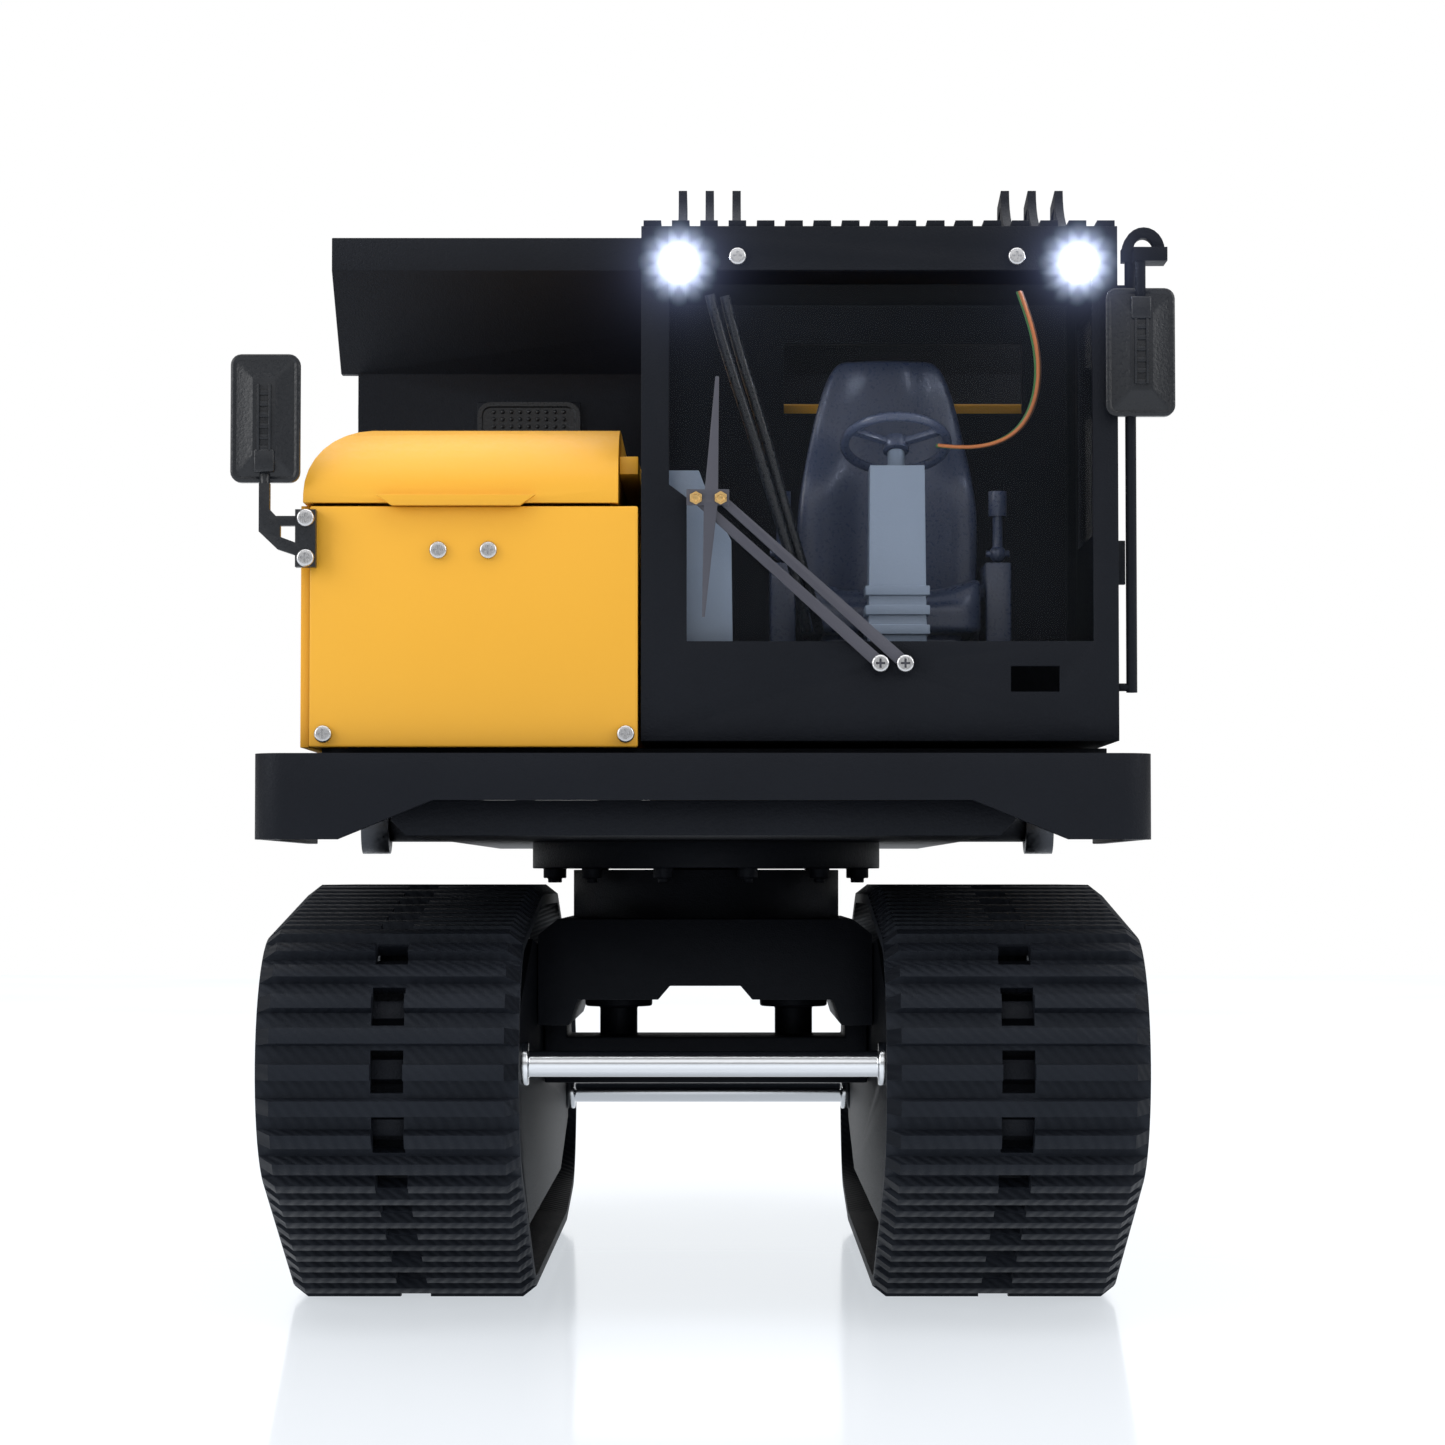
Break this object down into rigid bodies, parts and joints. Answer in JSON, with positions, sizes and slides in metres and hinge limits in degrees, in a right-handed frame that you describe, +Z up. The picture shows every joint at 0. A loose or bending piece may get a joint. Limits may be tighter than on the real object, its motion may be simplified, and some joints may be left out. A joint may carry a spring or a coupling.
{
  "type": "tracked dumper model",
  "caption": "Model rotating crawler dumper: rubber tracks, slewing platform with cab and engine hood, tilting dump bed on side rams, working door, lid, mirrors and wiper",
  "frame": {"origin": "centre of the footprint box, on the surface the tracks stand on", "axes": "+X towards the cab side, +Y from the bumper to the tail of the dump bed, +Z up"},
  "size_m": [0.213, 0.43, 0.267],
  "materials": {
    "track_rubber": "moulded, matt",
    "black_coat": "textured black powder coat",
    "yellow_paint": "smooth satin yellow",
    "chrome_rod": "polished",
    "steel": "turned",
    "dark_steel": "dark blackened",
    "slate_plastic": "moulded slate grey",
    "mirror_plastic": "moulded black",
    "clear_window": "clear sheet",
    "wiper_metal": "dark satin",
    "lamp": "clear lamp",
    "lead_insulation": "insulation",
    "battery_wrap": "shrink wrap",
    "cast_alloy": "cast"
  },
  "bodies": {
    "undercarriage": {"car_body": "black_coat", "cross_beam": "black_coat", "cross_axles": "chrome_rod", "track_frame_left": "black_coat", "track_frame_right": "black_coat", "track_left": "track_rubber", "track_right": "track_rubber", "travel_motors": "dark_steel"},
    "upper": {"deck_frame": "black_coat", "front_bumper": "black_coat", "side_skirts": "black_coat", "slew_flange": "black_coat", "slew_motor": "dark_steel", "hood_shell": "yellow_paint", "hood_front_panel": "yellow_paint", "rear_bulkhead": "yellow_paint", "cab_shell": "black_coat", "cab_front_plate": "black_coat", "windshield": "clear_window", "roof_guard": "black_coat", "led_lamps": "lamp", "seat": "slate_plastic", "steering_column": "slate_plastic", "light_lead": "lead_insulation", "grab_rail": "black_coat", "mirror_arm_left": "mirror_plastic", "battery_pack": "battery_wrap", "hydraulic_pump": "cast_alloy", "panel_screws": "steel"},
    "pinion": {"slew_pinion": "steel"},
    "sprocket_left": {"sprocket_left": "dark_steel"},
    "idler_left": {"idler_left": "dark_steel"},
    "road_wheel_left_1": {"road_wheel_left_1": "steel"},
    "road_wheel_left_2": {"road_wheel_left_2": "steel"},
    "road_wheel_left_3": {"road_wheel_left_3": "steel"},
    "road_wheel_left_4": {"road_wheel_left_4": "steel"},
    "top_roller_left_1": {"top_roller_left_1": "steel"},
    "top_roller_left_2": {"top_roller_left_2": "steel"},
    "sprocket_right": {"sprocket_right": "dark_steel"},
    "idler_right": {"idler_right": "dark_steel"},
    "road_wheel_right_1": {"road_wheel_right_1": "steel"},
    "road_wheel_right_2": {"road_wheel_right_2": "steel"},
    "road_wheel_right_3": {"road_wheel_right_3": "steel"},
    "road_wheel_right_4": {"road_wheel_right_4": "steel"},
    "top_roller_right_1": {"top_roller_right_1": "steel"},
    "top_roller_right_2": {"top_roller_right_2": "steel"},
    "hood_lid": {"hood_lid": "yellow_paint"},
    "cab_door": {"cab_door": "black_coat", "door_glass": "clear_window"},
    "wiper_arm_left": {"wiper_arm_left": "wiper_metal"},
    "wiper_arm_right": {"wiper_arm_right": "wiper_metal"},
    "wiper_blade": {"wiper_blade": "wiper_metal"},
    "mirror_left": {"mirror_left": "mirror_plastic"},
    "mirror_right": {"mirror_right": "mirror_plastic"},
    "steering_wheel": {"steering_wheel": "slate_plastic"},
    "joystick_left": {"joystick_left": "slate_plastic"},
    "joystick_right": {"joystick_right": "slate_plastic"},
    "dump_bed": {"dump_bed": "black_coat"},
    "lift_barrels": {"lift_barrels": "dark_steel"},
    "lift_rods": {"lift_rods": "chrome_rod"}
  },
  "joints": [
    {"name": "slew", "type": "hinge", "parent": "undercarriage", "child": "upper", "pos_m": [0, -0.045, 0.105], "axis": [0, 0, 1], "continuous": true},
    {"name": "pinion_spin", "type": "hinge", "parent": "upper", "child": "pinion", "pos_m": [0, -0.0226, 0.105], "axis": [0, 0, 1], "continuous": true},
    {"name": "sprocket_left_spin", "type": "hinge", "parent": "undercarriage", "child": "sprocket_left", "pos_m": [-0.0707, -0.183, 0.0595], "axis": [1, 0, 0], "continuous": true},
    {"name": "idler_left_spin", "type": "hinge", "parent": "undercarriage", "child": "idler_left", "pos_m": [-0.0707, 0.093, 0.0375], "axis": [1, 0, 0], "continuous": true},
    {"name": "road_wheel_left_1_spin", "type": "hinge", "parent": "undercarriage", "child": "road_wheel_left_1", "pos_m": [-0.0707, -0.127, 0.0225], "axis": [1, 0, 0], "continuous": true},
    {"name": "road_wheel_left_2_spin", "type": "hinge", "parent": "undercarriage", "child": "road_wheel_left_2", "pos_m": [-0.0707, -0.06781, 0.0225], "axis": [1, 0, 0], "continuous": true},
    {"name": "road_wheel_left_3_spin", "type": "hinge", "parent": "undercarriage", "child": "road_wheel_left_3", "pos_m": [-0.0707, -0.00862, 0.0225], "axis": [1, 0, 0], "continuous": true},
    {"name": "road_wheel_left_4_spin", "type": "hinge", "parent": "undercarriage", "child": "road_wheel_left_4", "pos_m": [-0.0707, 0.05057, 0.0225], "axis": [1, 0, 0], "continuous": true},
    {"name": "top_roller_left_1_spin", "type": "hinge", "parent": "undercarriage", "child": "top_roller_left_1", "pos_m": [-0.0707, -0.103, 0.0893], "axis": [1, 0, 0], "continuous": true},
    {"name": "top_roller_left_2_spin", "type": "hinge", "parent": "undercarriage", "child": "top_roller_left_2", "pos_m": [-0.0707, -0.015, 0.0893], "axis": [1, 0, 0], "continuous": true},
    {"name": "sprocket_right_spin", "type": "hinge", "parent": "undercarriage", "child": "sprocket_right", "pos_m": [0.0707, -0.183, 0.0595], "axis": [1, 0, 0], "continuous": true},
    {"name": "idler_right_spin", "type": "hinge", "parent": "undercarriage", "child": "idler_right", "pos_m": [0.0707, 0.093, 0.0375], "axis": [1, 0, 0], "continuous": true},
    {"name": "road_wheel_right_1_spin", "type": "hinge", "parent": "undercarriage", "child": "road_wheel_right_1", "pos_m": [0.0707, -0.127, 0.0225], "axis": [1, 0, 0], "continuous": true},
    {"name": "road_wheel_right_2_spin", "type": "hinge", "parent": "undercarriage", "child": "road_wheel_right_2", "pos_m": [0.0707, -0.06781, 0.0225], "axis": [1, 0, 0], "continuous": true},
    {"name": "road_wheel_right_3_spin", "type": "hinge", "parent": "undercarriage", "child": "road_wheel_right_3", "pos_m": [0.0707, -0.00862, 0.0225], "axis": [1, 0, 0], "continuous": true},
    {"name": "road_wheel_right_4_spin", "type": "hinge", "parent": "undercarriage", "child": "road_wheel_right_4", "pos_m": [0.0707, 0.05057, 0.0225], "axis": [1, 0, 0], "continuous": true},
    {"name": "top_roller_right_1_spin", "type": "hinge", "parent": "undercarriage", "child": "top_roller_right_1", "pos_m": [0.0707, -0.103, 0.0893], "axis": [1, 0, 0], "continuous": true},
    {"name": "top_roller_right_2_spin", "type": "hinge", "parent": "undercarriage", "child": "top_roller_right_2", "pos_m": [0.0707, -0.015, 0.0893], "axis": [1, 0, 0], "continuous": true},
    {"name": "hood_lid_hinge", "type": "hinge", "parent": "upper", "child": "hood_lid", "pos_m": [-0.06, -0.1115, 0.2081], "axis": [-1, 0, 0], "range_deg": [0, 60]},
    {"name": "cab_door_hinge", "type": "hinge", "parent": "upper", "child": "cab_door", "pos_m": [0.096, -0.1251, 0.19], "axis": [0, 0, 1], "range_deg": [0, 80]},
    {"name": "wiper_arm_left_pivot", "type": "hinge", "parent": "upper", "child": "wiper_arm_left", "pos_m": [0.0398, -0.211, 0.1507], "axis": [0, 1, 0], "range_deg": [0, 70]},
    {"name": "wiper_arm_right_pivot", "type": "hinge", "parent": "upper", "child": "wiper_arm_right", "pos_m": [0.0454, -0.211, 0.1507], "axis": [0, 1, 0], "range_deg": [0, 70]},
    {"name": "wiper_blade_pivot", "type": "hinge", "parent": "wiper_arm_left", "child": "wiper_blade", "pos_m": [-0.0017, -0.212, 0.188], "axis": [0, 1, 0], "range_deg": [-70, 0]},
    {"name": "mirror_left_swivel", "type": "hinge", "parent": "upper", "child": "mirror_left", "pos_m": [-0.0987, -0.2118, 0.206], "axis": [0, 0, 1], "range_deg": [-30, 0]},
    {"name": "mirror_right_swivel", "type": "hinge", "parent": "upper", "child": "mirror_right", "pos_m": [0.0987, -0.2118, 0.221], "axis": [0, 0, 1], "range_deg": [0, 30]},
    {"name": "steering_wheel_spin", "type": "hinge", "parent": "upper", "child": "steering_wheel", "pos_m": [0.0446, -0.1895, 0.1973], "axis": [0, 0.4226, 0.9063], "range_deg": [-180, 180]},
    {"name": "joystick_left_tilt", "type": "hinge", "parent": "upper", "child": "joystick_left", "pos_m": [0.0186, -0.1535, 0.1804], "axis": [1, 0, 0], "range_deg": [-15, 15], "stiffness_Nm_per_rad": 0.01},
    {"name": "joystick_right_tilt", "type": "hinge", "parent": "upper", "child": "joystick_right", "pos_m": [0.0706, -0.1535, 0.1804], "axis": [1, 0, 0], "range_deg": [-15, 15], "stiffness_Nm_per_rad": 0.01},
    {"name": "bed_tilt", "type": "hinge", "parent": "upper", "child": "dump_bed", "pos_m": [0, 0.15, 0.14], "axis": [-1, 0, 0], "range_deg": [0, 45]},
    {"name": "barrel_swing", "type": "hinge", "parent": "upper", "child": "lift_barrels", "pos_m": [0, 0.0424, 0.1171], "axis": [-1, 0, 0], "range_deg": [0, 22.5]},
    {"name": "rod_slide", "type": "slide", "parent": "lift_barrels", "child": "lift_rods", "axis": [0, 0.2677, 0.9635], "range_m": [0, 0.0669]}
  ],
  "couplings": [
    {"joint": "pinion_spin", "follows": "slew", "ratio": -5},
    {"joint": "idler_left_spin", "follows": "sprocket_left_spin", "ratio": 1},
    {"joint": "road_wheel_left_1_spin", "follows": "sprocket_left_spin", "ratio": 1.5429},
    {"joint": "road_wheel_left_2_spin", "follows": "sprocket_left_spin", "ratio": 1.5429},
    {"joint": "road_wheel_left_3_spin", "follows": "sprocket_left_spin", "ratio": 1.5429},
    {"joint": "road_wheel_left_4_spin", "follows": "sprocket_left_spin", "ratio": 1.5429},
    {"joint": "top_roller_left_1_spin", "follows": "sprocket_left_spin", "ratio": 4.1538},
    {"joint": "top_roller_left_2_spin", "follows": "sprocket_left_spin", "ratio": 4.1538},
    {"joint": "idler_right_spin", "follows": "sprocket_right_spin", "ratio": 1},
    {"joint": "road_wheel_right_1_spin", "follows": "sprocket_right_spin", "ratio": 1.5429},
    {"joint": "road_wheel_right_2_spin", "follows": "sprocket_right_spin", "ratio": 1.5429},
    {"joint": "road_wheel_right_3_spin", "follows": "sprocket_right_spin", "ratio": 1.5429},
    {"joint": "road_wheel_right_4_spin", "follows": "sprocket_right_spin", "ratio": 1.5429},
    {"joint": "top_roller_right_1_spin", "follows": "sprocket_right_spin", "ratio": 4.1538},
    {"joint": "top_roller_right_2_spin", "follows": "sprocket_right_spin", "ratio": 4.1538},
    {"joint": "wiper_arm_right_pivot", "follows": "wiper_arm_left_pivot", "ratio": 1},
    {"joint": "wiper_blade_pivot", "follows": "wiper_arm_left_pivot", "ratio": -1},
    {"joint": "barrel_swing", "follows": "bed_tilt", "ratio": 0.5},
    {"joint": "rod_slide", "follows": "bed_tilt", "m_per_rad": 0.08518}
  ]
}
